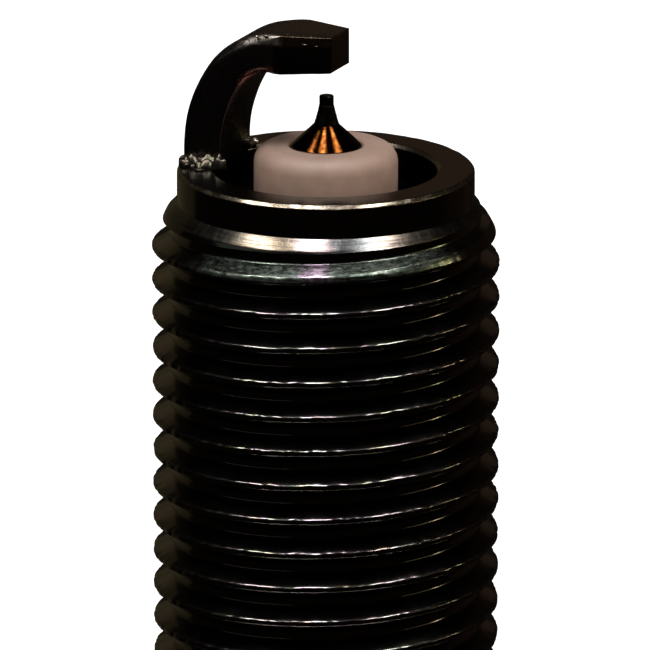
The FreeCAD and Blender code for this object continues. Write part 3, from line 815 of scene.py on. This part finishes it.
# ---- ground electrode ----
def strap_stations():
    """Along the strap: outer point, inner point, half width and corner radius."""
    gentle = np.array([STRAP_OUTER_X + GENTLE_R, STRAIGHT_TOP])
    direction = np.array([-math.cos(GENTLE_TURN), math.sin(GENTLE_TURN)])
    tight = gentle + direction * (GENTLE_R - TIGHT_R)
    t = STRAP_THICKNESS
    stations = []
    for z in np.linspace(REACH - 0.02, STRAIGHT_TOP, 5)[:-1]:
        stations.append(((STRAP_OUTER_X, z), (STRAP_OUTER_X + t, z)))
    for a in np.linspace(0, GENTLE_TURN, 14)[:-1]:
        d = np.array([-math.cos(a), math.sin(a)])
        stations.append((gentle + d * GENTLE_R, gentle + d * (GENTLE_R - t)))
    for a in np.linspace(GENTLE_TURN, math.pi / 2, 22):
        d = np.array([-math.cos(a), math.sin(a)])
        stations.append((tight + d * TIGHT_R, tight + d * (TIGHT_R - t)))
    top_start, bottom_start = stations[-1]
    for share in np.linspace(0, 1, 20)[1:]:
        top = np.array(top_start) * (1 - share) + np.array([END_X, END_TOP]) * share
        bottom = np.array(bottom_start) * (1 - share) + np.array([END_X, END_BOTTOM]) * share
        stations.append((top, bottom))
    out = []
    for outer, inner in stations:
        outer, inner = np.array(outer, float), np.array(inner, float)
        x = (outer[0] + inner[0]) / 2
        cut = np.clip((x - (END_X - TAPER_LENGTH)) / TAPER_LENGTH, 0, 1) if outer[1] > 22 else 0.0
        half = STRAP_HALF - cut * (STRAP_HALF - TAPER_END_HALF)
        corner = np.interp(x, CORNER_X, CORNER_R)
        out.append((outer, inner, half, corner))
    return out


def strap_section(outer, inner, half, corner, inset=0.0):
    """A ring of points round the strap at one station."""
    across = inner - outer
    depth = np.linalg.norm(across)
    across = across / depth
    u0, u1, w = inset, depth - inset, half - inset
    corner = max(corner - inset * 0.3, 0.006)
    corners = [(u0, -w), (u1, -w), (u1, w), (u0, w)]
    ring = []
    for k, (u, v) in enumerate(corners):
        cu = u + (corner if u == u0 else -corner)
        cv = v + (corner if v < 0 else -corner)
        start = (180, 270, 0, 90)[k]
        angles = np.radians(np.linspace(start, start + 90, 7))
        ring += [(cu + corner * math.cos(a), cv + corner * math.sin(a)) for a in angles]
    centre = np.array([(u0 + u1) / 2, 0.0])
    ring.sort(key=lambda p: math.atan2(p[1] - centre[1], (p[0] - centre[0]) * w / max((u1 - u0) / 2, 1e-6)))
    points = []
    for u, v in ring:
        p = outer + across * u
        points.append((p[0], v, p[1]))
    return points


def make_strap():
    stations = strap_stations()
    rings = [strap_section(*s) for s in stations]
    outer, inner, half, corner = stations[-1]
    step = np.array([0.03, 0.0])
    for inset, forward in ((0.012, 0.4), (0.035, 0.8), (0.07, 1.0)):
        rings.append(strap_section(outer + step * forward, inner + step * forward, half, corner, inset))
    rings = np.array(rings)
    wobble = field(rings[..., 0] * 1.3, rings[..., 1] * 1.3, rings[..., 2] * 1.3, 21) * 0.012
    fine = field(rings[..., 0] * 5, rings[..., 1] * 5, rings[..., 2] * 5, 22) * 0.006
    middle = rings.mean(1, keepdims=True)
    away = rings - middle
    away /= np.linalg.norm(away, axis=-1, keepdims=True)
    rings = rings + away * (wobble + fine)[..., None]
    points, faces = tube(rings)
    return mesh_object(
        "strap", points, faces, STRAP_METAL, "plug", ["ground_electrode"], merge=1e-3
    )


# small burrs on the strap's sheared edges: centre and half widths
BURRS = (
    ((-0.298, -0.872, 22.74), (0.085, 0.030, 0.020)),
    ((0.032, -0.778, 22.70), (0.070, 0.026, 0.016)),
    ((-0.13, -0.735, 22.94), (0.030, 0.030, 0.022)),
    ((-0.85, -0.72, 22.955), (0.050, 0.060, 0.020)),
    ((-1.66, -1.06, 22.88), (0.060, 0.050, 0.040)),
    ((-1.38, -1.05, 22.93), (0.080, 0.045, 0.028)),
)


def make_weld_flash():
    """Rippled fused metal round three sides of the strap's foot."""
    x0, x1, w = STRAP_OUTER_X, STRAP_OUTER_X + STRAP_THICKNESS, STRAP_HALF
    path = []
    for a, b, n in (((x1, -w), (x0, -w), 46), ((x0, -w), (x0, w), 60), ((x0, w), (x1, w), 40)):
        for k in range(n):
            path.append((a[0] + (b[0] - a[0]) * k / n, a[1] + (b[1] - a[1]) * k / n))
    path.append((x1, w))
    middle = np.array([(x0 + x1) / 2, 0.0])
    rows = []
    for k, p in enumerate(path):
        p = np.array(p)
        out = p - middle
        out = np.array([out[0] / (x1 - x0), out[1] / (2 * w)])
        out = unit(np.array([out[0] ** 3, out[1] ** 3])) if np.linalg.norm(out) > 0 else out
        arc = k * 0.05
        lump = 0.5 + 0.5 * noise.noise(Vector((arc * 2.4, 1.3, 0.4)))
        fine = noise.noise(Vector((arc * 6.0, 5.0, 2.0)))
        front = float(np.clip(-p[1] - 0.9, 0, 0.2) / 0.2)
        outside = float(np.clip((STRAP_OUTER_X + 0.25 - p[0]) / 0.25, 0, 1)) * (1 - front)
        reach = 0.15 + 0.10 * lump + 0.03 * fine + front * (0.22 + 0.16 * lump)
        height = (0.20 + 0.14 * lump + 0.03 * fine) * (1 - 0.65 * outside)
        row = []
        for j in range(FLASH_ACROSS):
            a = math.pi * j / (FLASH_ACROSS - 1)
            inner = 0 < j < FLASH_ACROSS - 1
            d = -0.10 + (reach + 0.10) * (0.5 - 0.5 * math.cos(a))
            h = height * math.sin(a) ** 0.8 if inner else 0.0
            q = p + out * d
            r = math.hypot(*q)
            if r > FLASH_LIMIT_R:
                q = q * FLASH_LIMIT_R / r
            bumpy = noise.noise(Vector((q[0] * 4.2, q[1] * 4.2, h * 3 + 3)))
            bumpy += 0.25 * noise.noise(Vector((q[0] * 8, q[1] * 8, 7)))
            row.append((q[0], q[1], REACH - 0.01 + max(h * (1 + 0.9 * bumpy), 0.0) * inner))
        rows.append(row)
    points, faces = tube(np.array(rows))
    return mesh_object(
        "weld_flash", points, faces, WELD_METAL, "plug", ["ground_weld_bead"], merge=1e-3
    )


def make_drop(name, place, size, seed, material):
    """One lumpy drop of metal. size is its three half widths."""
    bm = bmesh.new()
    bmesh.ops.create_icosphere(bm, subdivisions=3, radius=1.0)
    for v in bm.verts:
        grow = 1 + 0.25 * noise.noise(v.co * 2.5 + Vector((seed, 0, 0)))
        v.co = Vector(place) + v.co * Vector(size) * grow
    points = [tuple(v.co) for v in bm.verts]
    bm.verts.index_update()
    faces = [tuple(v.index for v in f.verts) for f in bm.faces]
    bm.free()
    return mesh_object(name, points, faces, material, "plug")


# drops thrown off by the weld: centre and half widths. The first is given near-white metal, a painted
# glint.
DROPS = (
    ((-2.79, 1.36, 19.13), (0.105, 0.12, 0.100)),
    ((-3.12, -1.80, 19.02), (0.13, 0.09, 0.06)),
    ((-3.62, -1.55, 19.05), (0.10, 0.12, 0.09)),
    ((-2.82, -1.42, 19.03), (0.10, 0.13, 0.12)),
    ((-3.38, -1.66, 19.04), (0.09, 0.10, 0.10)),
    ((-3.72, -1.34, 19.08), (0.12, 0.14, 0.15)),
)


# ---- turned pieces ----
def make_insulator():
    def soft(theta, r, z):
        return 0.008 * field(np.cos(theta) * r * 1.2, np.sin(theta) * r * 1.2, z * 1.2, 31) * (z > 17)

    points = [
        (1.03, 6.3), (1.03, NOSE_Z, 0.09), (NOSE_R, NOSE_Z, 0.48), (NOSE_R, 15.07, 3.0),
        (2.6, 8.3, 0.1), (3.35, 7.55, 0.1), (3.35, -3.95, 0.3), (5.45, -5.0, 0.4),
        (5.45, -9.2, 0.2), (4.46, -9.9, 0.1), (4.46, -15.05), (POST_R, -15.25, 0.08),
    ]
    for i in range(GROOVES):
        start = GROOVE_TOP_Z - i * GROOVE_STEP
        end = start - GROOVE_LENGTH
        points += [(POST_R, start, 0.16), (GROOVE_R, start - 0.5, 0.45)]
        points += [(GROOVE_R, end + 0.5, 0.45), (POST_R, end, 0.16)]
    points += [
        (POST_R, -33.0, 0.25), (4.1, -33.55, 0.3), (4.1, POST_END_Z, 0.5),
        (1.75, POST_END_Z, 0.1), (1.55, POST_END_Z + 0.2), (1.55, 5.78),
    ]
    profile = even(rounded(points), 0.8)
    return lathe("ceramic_body", profile, ALUMINA, "plug", ["insulator"], 160, shake=soft)


# the wire and its weld stand a little off the axis, to the camera's right
RIGHT = np.array([math.cos(math.radians(CAMERA_AZIMUTH)), math.sin(math.radians(CAMERA_AZIMUTH))])
OFF_CENTRE = RIGHT * 0.02


def make_centre_electrode():
    points = [
        (0.6, 4.6), (1.5, 4.6, 0.1), (1.5, 5.85, 0.1), (ELECTRODE_R, 6.35, 0.1),
        (ELECTRODE_R, CONE_BASE_Z, 0.03), (CONE_TOP_R, CONE_TOP_Z, 0.012), (0.2, CONE_TOP_Z),
        (0.2, 19.85), (0.1, 19.85), (0.1, 17.3), (0.6, 16.6),
    ]
    return lathe(
        "electrode_cone", even(rounded(points), 0.3), CONE_METAL, "plug",
        ["center_electrode"], 160, shift=OFF_CENTRE * 0.5,
    )


def make_tip():
    """The fused collar on the cone and the fine wire standing in it."""
    base_r, top_r, length = 0.357, 0.214, 0.55
    weld = [(WIRE_R, 20.2), (base_r, 20.265)]
    for t in np.linspace(0, 1, 14):
        r = base_r - (base_r - top_r) * (1 - (1 - t) ** 1.2)
        weld.append((r, CONE_TOP_Z + length * t))
    weld.append((0.2, 20.83))

    def melted(theta, r, z):
        return 0.006 * field(np.cos(theta) * 2.2, np.sin(theta) * 2.2, z * 7, 41) * (r > 0.21)

    lathe(
        "fused_collar", np.array(weld), FUSED_METAL, "plug",
        ["tip_weld"], 96, shake=melted, shift=OFF_CENTRE,
    )
    wire = rounded(
        [(0.0, 19.86), (WIRE_R, 19.86, 0.02), (WIRE_R, WIRE_TOP_Z, 0.035), (0.0, WIRE_TOP_Z)], hold=0.01
    )
    lathe(
        "fine_wire", even(wire, 0.1), WIRE_METAL, "plug",
        ["iridium_tip"], 96, closed=False, shift=OFF_CENTRE,
    )


def make_gasket():
    sheet, height, curl_r = 0.38, 2.0, 0.41
    fold_x, fold_r = 6.0, 1.0
    curl_x, curl_z = 4.76 + curl_r + sheet / 2, sheet / 2 + curl_r
    tongue_z = curl_z + curl_r - sheet / 2

    def arc(cx, cz, r, a, b, n):
        return [(cx + r * math.cos(t), cz + r * math.sin(t)) for t in np.radians(np.linspace(a, b, n))]

    points = [(5.05, height - 0.08), (5.12, height), (5.5, height)]
    points += arc(fold_x, fold_r, fold_r, 90, -90, 28) + [(5.7, 0.0)]
    points += arc(curl_x, curl_z, curl_r + sheet / 2, -90, -270, 20)
    points += [(5.99, tongue_z + sheet), (6.05, tongue_z + sheet - 0.06)]
    points += [(6.05, tongue_z + 0.06), (5.99, tongue_z)]
    points += arc(curl_x, curl_z, curl_r - sheet / 2, 90, 270, 12)
    points += arc(fold_x, fold_r, fold_r - sheet, -90, 90, 22)
    points += [(5.12, height - sheet), (5.05, height - sheet + 0.06)]

    def pressed(theta, r, z):
        return 0.015 * field(np.cos(theta) * 4, np.sin(theta) * 4, z * 0.5, 51)

    return lathe(
        "folded_washer", np.array(points), GASKET_METAL, "gasket",
        ["crush_gasket"], 200, shake=pressed,
    )


def make_nut():
    points = [
        (2.36, NUT_TOP_Z), (3.15, NUT_TOP_Z, 0.15), (3.15, -37.45, 0.2), (2.62, -37.5, 0.12),
        (2.62, -39.0, 0.3), (NUT_R, -39.15, 0.18), (NUT_R, -43.4, 0.8), (2.72, -44.4, 0.1),
        (2.6, NUT_END_Z, 0.06), (2.36, NUT_END_Z, 0.03), (NUT_BORE_R, NUT_END_Z + 0.3, 0.05),
        (NUT_BORE_R, -36.05, 0.05),
    ]
    profile = even(rounded(points, closed=True), 0.5)
    return lathe("cap_nut", profile, NUT_METAL, "nut", ["terminal_nut"], 160)


def stud_thread_rows(theta, share):
    """Rows of the M4 thread climbing from the stud's pointed end, clamped to the thread's length."""
    wave = STUD_ROOT_R + (STUD_MAJOR_R - STUD_ROOT_R) * np.clip(1.25 - 2.6 * np.abs(share - 0.5), 0, 1)
    wave = wave - 0.03 * (np.abs(share - 0.5) < 0.12)
    point_z = [STUD_END_Z, STUD_END_Z + 0.7, STUD_THREAD_Z - 0.3, STUD_THREAD_Z]
    point_r = [STUD_END_R, STUD_MAJOR_R, STUD_MAJOR_R, STUD_ROOT_R]
    rows_r, rows_z = [], []
    for k in range(int((FLANGE_END_Z - STUD_END_Z) / STUD_PITCH) + 3):
        for s, r in zip(share, wave):
            z = STUD_END_Z - STUD_PITCH + (k + s - 0.5) * STUD_PITCH + theta / (2 * math.pi) * STUD_PITCH
            rows_r.append(np.minimum(r, np.interp(z, point_z, point_r)))
            rows_z.append(np.clip(z, STUD_END_Z, STUD_THREAD_Z))
    rows_r, rows_z = np.array(rows_r), np.array(rows_z)
    inside = (rows_z > STUD_END_Z) & (rows_z < STUD_THREAD_Z)
    beyond = np.where(rows_z >= STUD_THREAD_Z, STUD_ROOT_R, STUD_END_R)
    return np.where(inside, rows_r, beyond), rows_z


def make_stud():
    """The shank and flange as one turned piece, and the M4 thread climbing its end."""
    points = [
        (0.0, -10.2), (1.3, -10.2, 0.1), (1.3, -14.2, 0.05), (STUD_R, -14.32, 0.05),
        (STUD_R, POST_END_Z), (FLANGE_R, POST_END_Z, 0.1), (FLANGE_R, FLANGE_END_Z, 0.1),
        (STUD_ROOT_R, FLANGE_END_Z, 0.08), (STUD_ROOT_R, STUD_THREAD_Z),
    ]
    around = 96
    theta = np.arange(around) * 2 * math.pi / around
    share = np.linspace(0, 1, 15)[:-1]
    cap = np.array([[STUD_END_R * math.cos(t), STUD_END_R * math.sin(t), STUD_END_Z] for t in theta])
    points, faces = joined(
        row_mesh(*flat_rows(even(rounded(points), 0.8), around), closed=False),
        helix_mesh(*stud_thread_rows(theta, share), len(share)),
        (cap, [tuple(range(around))]),
    )
    return mesh_object(
        "stud", points, faces, STUD_METAL, "plug", ["terminal_stud"], merge=1e-3
    )


make_shell()
make_strap()
make_weld_flash()
for index, (centre, widths) in enumerate(DROPS):
    # the first drop gets the near-white metal of a painted glint
    drop_metal = PAINTED_GLINT_METAL if index == 0 else WELD_METAL
    make_drop(f"weld_drop_{index + 1}", centre, widths, index, drop_metal)
for index, (centre, widths) in enumerate(BURRS):
    make_drop(f"strap_burr_{index + 1}", centre, widths, index + 20, STRAP_METAL)
make_insulator()
make_centre_electrode()
make_tip()
make_gasket()
make_nut()
make_stud()

# the pieces hidden inside keep their CAD meshes
INNER = {
    "seat_packing": grainy("packing_steel", (0.38, 0.37, 0.35), (0.48, 0.47, 0.45), 0.3, 0.08, 1.0),
    "lower_wire_ring": grainy("wire_steel", (0.38, 0.37, 0.35), (0.5, 0.49, 0.46), 0.25, 0.06, 1.0),
    "talc_fill": grainy("talc", (0.70, 0.69, 0.66), (0.82, 0.81, 0.78), 0.75),
    "electrode_copper_core": grainy(
        "copper", (0.66, 0.34, 0.22), (0.78, 0.44, 0.30), 0.25, 0.08, 1.0
    ),
    "lower_glass_seal": grainy("glass_seal", (0.15, 0.15, 0.17), (0.26, 0.26, 0.29), 0.2, 0.12),
    "resistor": grainy("resistor_mix", (0.06, 0.06, 0.06), (0.13, 0.13, 0.13), 0.6, 0.12),
}
INNER["upper_wire_ring"] = INNER["lower_wire_ring"]
INNER["upper_glass_seal"] = INNER["lower_glass_seal"]
for node, material in INNER.items():
    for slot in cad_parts[node].material_slots:
        slot.material = material


# ---- stage ----
def make_floor():
    n = Nodes("pale_floor")
    n.finish(
        Base_Color=(0.9, 0.9, 0.9, 1), Roughness=0.9, Emission_Color=(1, 1, 1, 1), Emission_Strength=0.64
    )
    mesh = bpy.data.meshes.new("floor")
    z = FLOOR_Z * MM
    corners = [(-1, -1), (1, -1), (1, 1), (-1, 1)]
    mesh.from_pydata([(x * FLOOR_HALF, y * FLOOR_HALF, z) for x, y in corners], [], [(0, 1, 2, 3)])
    mesh.materials.append(n.material)
    floor = bpy.data.objects.new("floor", mesh)
    bpy.context.scene.collection.objects.link(floor)
    floor.visible_glossy = False
    floor.visible_diffuse = False
    floor.visible_shadow = False


AZ, EL = math.radians(CAMERA_AZIMUTH), math.radians(CAMERA_ELEVATION)
SIDE = Vector((math.cos(AZ), math.sin(AZ), 0))
NEAR = Vector((math.sin(AZ), -math.cos(AZ), 0))
UP = Vector((0, 0, 1))


def make_camera():
    data = bpy.data.cameras.new("camera")
    data.lens = CAMERA_LENS
    data.sensor_width = 36
    data.clip_start = 0.01
    data.clip_end = 30
    camera = bpy.data.objects.new("camera", data)
    bpy.context.scene.collection.objects.link(camera)
    back = NEAR * math.cos(EL) + UP * math.sin(EL)
    camera.location = UP * CAMERA_AIM_Z + SIDE * CAMERA_AIM_SIDE + back * CAMERA_DISTANCE
    camera.rotation_mode = "QUATERNION"
    camera.rotation_quaternion = (-back).to_track_quat("-Z", "Y")
    bpy.context.scene.camera = camera


# a light whose direction goes up more than this is turned level with the camera
OVERHEAD = 0.7


def area_light(name, width, height, radiance):
    """A rectangular light that the camera doesn't see."""
    data = bpy.data.lights.new(name, "AREA")
    data.shape = "RECTANGLE"
    data.size, data.size_y = width, height
    data.energy = radiance * math.pi * width * height
    light = bpy.data.objects.new(name, data)
    bpy.context.scene.collection.objects.link(light)
    light.rotation_mode = "QUATERNION"
    light.visible_camera = False
    return light


def make_light(name, direction, distance, width, height, radiance, colour=(1, 1, 1), fill=False):
    """A soft light aimed at the firing end. direction is (right, towards camera, up).

    A fill light only brightens surfaces, and any other light only shows in reflections.
    """
    light = area_light(name, width, height, radiance)
    light.data.color = colour
    d = (SIDE * direction[0] + NEAR * direction[1] + UP * direction[2]).normalized()
    light.location = UP * FIRING_END_Z + d * distance
    if direction[2] > OVERHEAD:
        across = (SIDE - d * SIDE.dot(d)).normalized()
        light.rotation_quaternion = Matrix((across, d.cross(across), d)).transposed().to_quaternion()
    else:
        light.rotation_quaternion = d.to_track_quat("Z", "Y")
    light.visible_glossy = not fill
    light.visible_diffuse = fill


def make_softbox(name, azimuth):
    """An upright soft panel beside the hexagon and the post, too low to reach the thread's end."""
    width, height, distance, below = 0.036, 0.058, 0.07, 0.045
    light = area_light(name, width, height, 1.0)
    light.data.spread = math.radians(34)
    a = math.radians(azimuth)
    d = NEAR * math.cos(a) + SIDE * math.sin(a)
    light.location = d * distance - UP * below
    light.rotation_quaternion = d.to_track_quat("Z", "Y")
    light.visible_diffuse = False


def make_world():
    """White to the camera, dark to reflections and soft to everything else."""
    world = bpy.data.worlds.new("studio")
    bpy.context.scene.world = world
    world.use_nodes = True
    tree = world.node_tree
    tree.nodes.clear()
    out = tree.nodes.new("ShaderNodeOutputWorld")
    paths = tree.nodes.new("ShaderNodeLightPath")

    def background(colour, strength):
        node = tree.nodes.new("ShaderNodeBackground")
        node.inputs[0].default_value = (*colour, 1)
        node.inputs[1].default_value = strength
        return node

    white = background((1, 1, 1), 1.0)
    soft = background((1, 0.98, 0.96), 0.62)
    dark = background((1.0, 0.72, 0.5), 0.012)
    first = tree.nodes.new("ShaderNodeMixShader")
    second = tree.nodes.new("ShaderNodeMixShader")
    tree.links.new(paths.outputs["Is Glossy Ray"], first.inputs[0])
    tree.links.new(soft.outputs[0], first.inputs[1])
    tree.links.new(dark.outputs[0], first.inputs[2])
    tree.links.new(paths.outputs["Is Camera Ray"], second.inputs[0])
    tree.links.new(first.outputs[0], second.inputs[1])
    tree.links.new(white.outputs[0], second.inputs[2])
    tree.links.new(second.outputs[0], out.inputs[0])


make_floor()
make_camera()
make_world()
WARM, GOLD = (1.0, 0.93, 0.86), (1.0, 0.84, 0.45)
for step in range(6):
    make_softbox(f"softbox_{step + 1}", step * 60 + 15)
make_light("lamp_left", (-0.52, 0.20, 0.83), 0.30, 0.050, 0.15, 38, WARM)
make_light("lamp_middle", (-0.12, 0.22, 0.97), 0.30, 0.052, 0.15, 46, (1, 0.95, 0.95))
make_light("lamp_right", (0.40, 0.20, 0.89), 0.30, 0.048, 0.15, 40, WARM)
make_light("soft_top", (0.1, 0.42, 0.9), 0.6, 0.5, 0.4, 2.0, fill=True)
make_light("back_left", (-0.55, -0.80, 0.0), 0.5, 0.42, 0.5, 0.054, (1.0, 0.82, 0.40))
make_light("back_right", (0.75, -0.55, 0.0), 0.5, 0.4, 0.5, 0.014, (1.0, 0.45, 0.25))
make_light("back_brown", (0.0, -0.96, 0.28), 0.6, 0.5, 0.16, 0.045, (1.0, 0.60, 0.40))
make_light("gold_side", (0.98, 0.18, 0.40), 0.4, 0.26, 0.035, 1.6, GOLD)
make_light("gold_spot", (0.99, -0.02, 0.40), 0.4, 0.045, 0.045, 22, GOLD)
make_light("dim_left", (-0.85, 0.55, 0.45), 0.4, 0.4, 0.04, 0.5, (0.9, 1.0, 0.95))
bpy.context.scene.view_settings.view_transform = "Standard"
